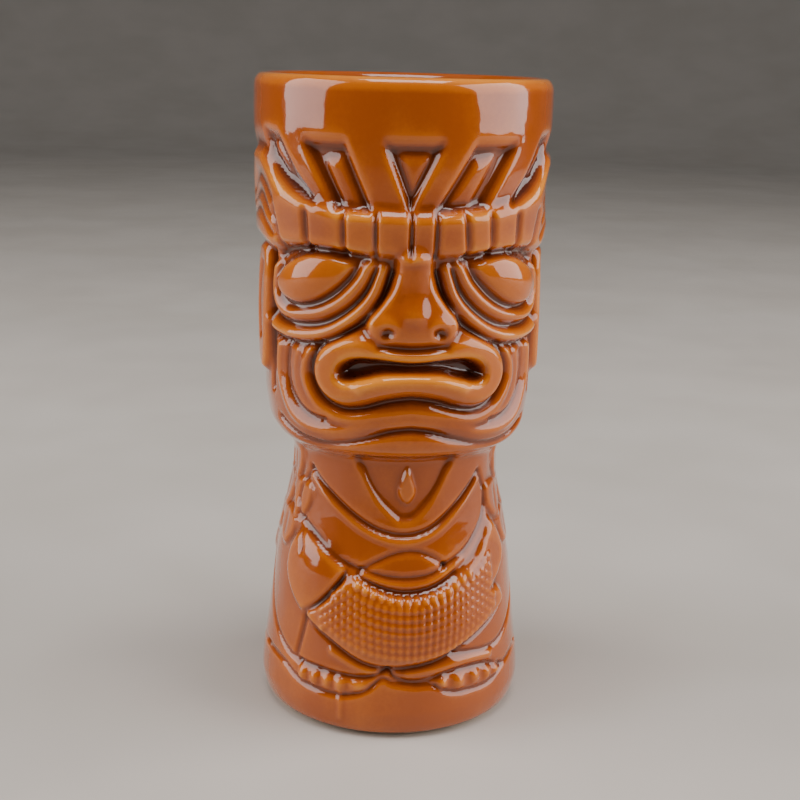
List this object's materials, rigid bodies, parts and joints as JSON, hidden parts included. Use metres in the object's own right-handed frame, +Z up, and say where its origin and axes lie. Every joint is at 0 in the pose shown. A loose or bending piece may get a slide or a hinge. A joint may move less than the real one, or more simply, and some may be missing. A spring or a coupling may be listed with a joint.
{
  "type": "tiki mug",
  "caption": "Tall waisted ceramic drinking mug carved as a scowling tiki figure that holds a fish, with an amber gloss glaze and a plain rim.",
  "frame": {"origin": "centre of the foot ring, on the surface the mug stands on", "axes": "+Z up along the mug's axis; the carved face looks along -Y; +X is the viewer's right when facing the face"},
  "size_m": [0.075, 0.0778, 0.165],
  "materials": {
    "bare_clay": "matt bisque",
    "amber_glaze": "high gloss, darker where it pools in the carving",
    "liner_glaze": "gloss",
    "foot_glaze": "gloss"
  },
  "bodies": {
    "root": {"clay_body": "bare_clay", "outer_glaze": "amber_glaze", "liner_glaze": "liner_glaze", "foot_recess_glaze": "foot_glaze"}
  },
  "joints": []
}
